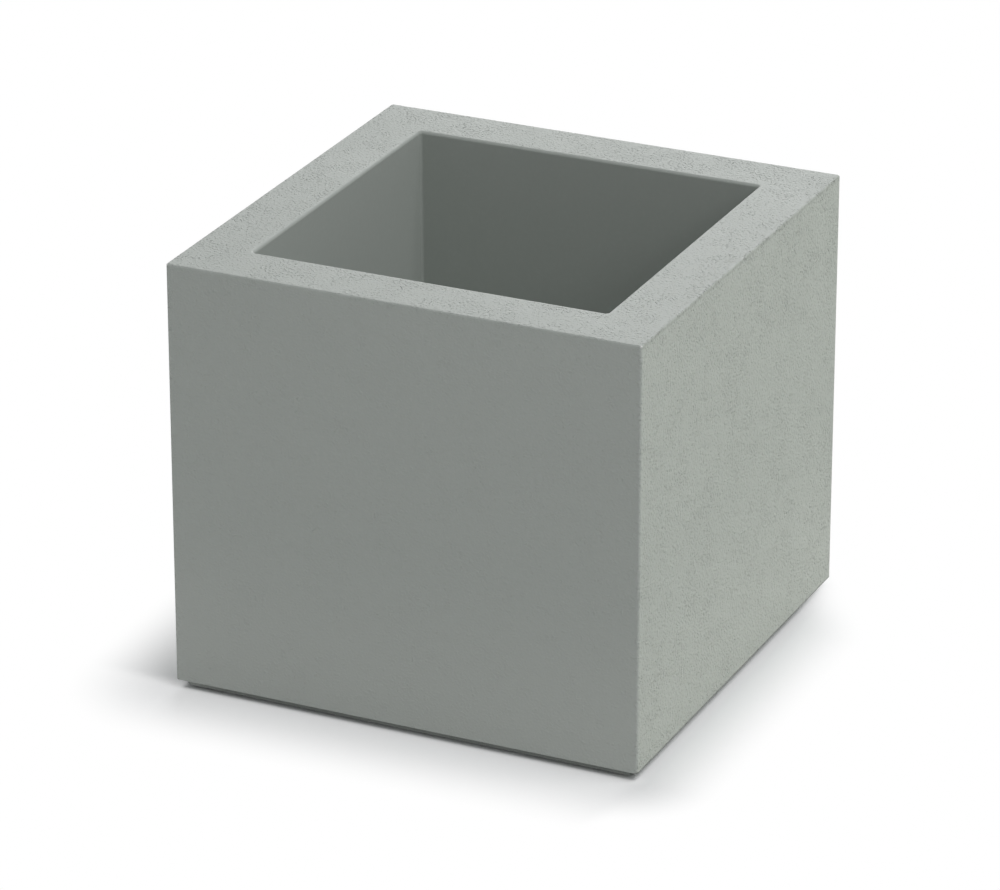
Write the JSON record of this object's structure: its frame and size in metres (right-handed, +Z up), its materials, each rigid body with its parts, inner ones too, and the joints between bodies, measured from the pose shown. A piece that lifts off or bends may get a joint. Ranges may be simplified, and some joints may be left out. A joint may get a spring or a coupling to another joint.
{
  "type": "square planter",
  "caption": "Square plastic planter with straight double walls, a wide flat rim and a deep planting well, on a set-back plinth with push-in feet and a lift-out drain plug.",
  "frame": {"origin": "on the ground under the middle of the planter, level with the undersides of the feet", "axes": "+Z up, front face towards -Y, +X to the right seen from the front"},
  "size_m": [0.4, 0.4, 0.363],
  "materials": {
    "moulded_body": "matt fine grained moulding, grey-green",
    "plug_plastic": "satin moulding, darker grey",
    "foot_rubber": "matt black rubber",
    "seal_rubber": "smooth black rubber"
  },
  "bodies": {
    "planter": {"planter_shell": "moulded_body", "foot_front_left": "foot_rubber", "foot_front_right": "foot_rubber", "foot_back_left": "foot_rubber", "foot_back_right": "foot_rubber", "vent_plug": "plug_plastic"},
    "drain_plug": {"drain_plug": "plug_plastic", "drain_plug_seal": "seal_rubber"}
  },
  "joints": [
    {"name": "drain_plug_lift", "type": "slide", "parent": "planter", "child": "drain_plug", "axis": [0, 0, 1], "range_m": [0, 0.36]}
  ]
}
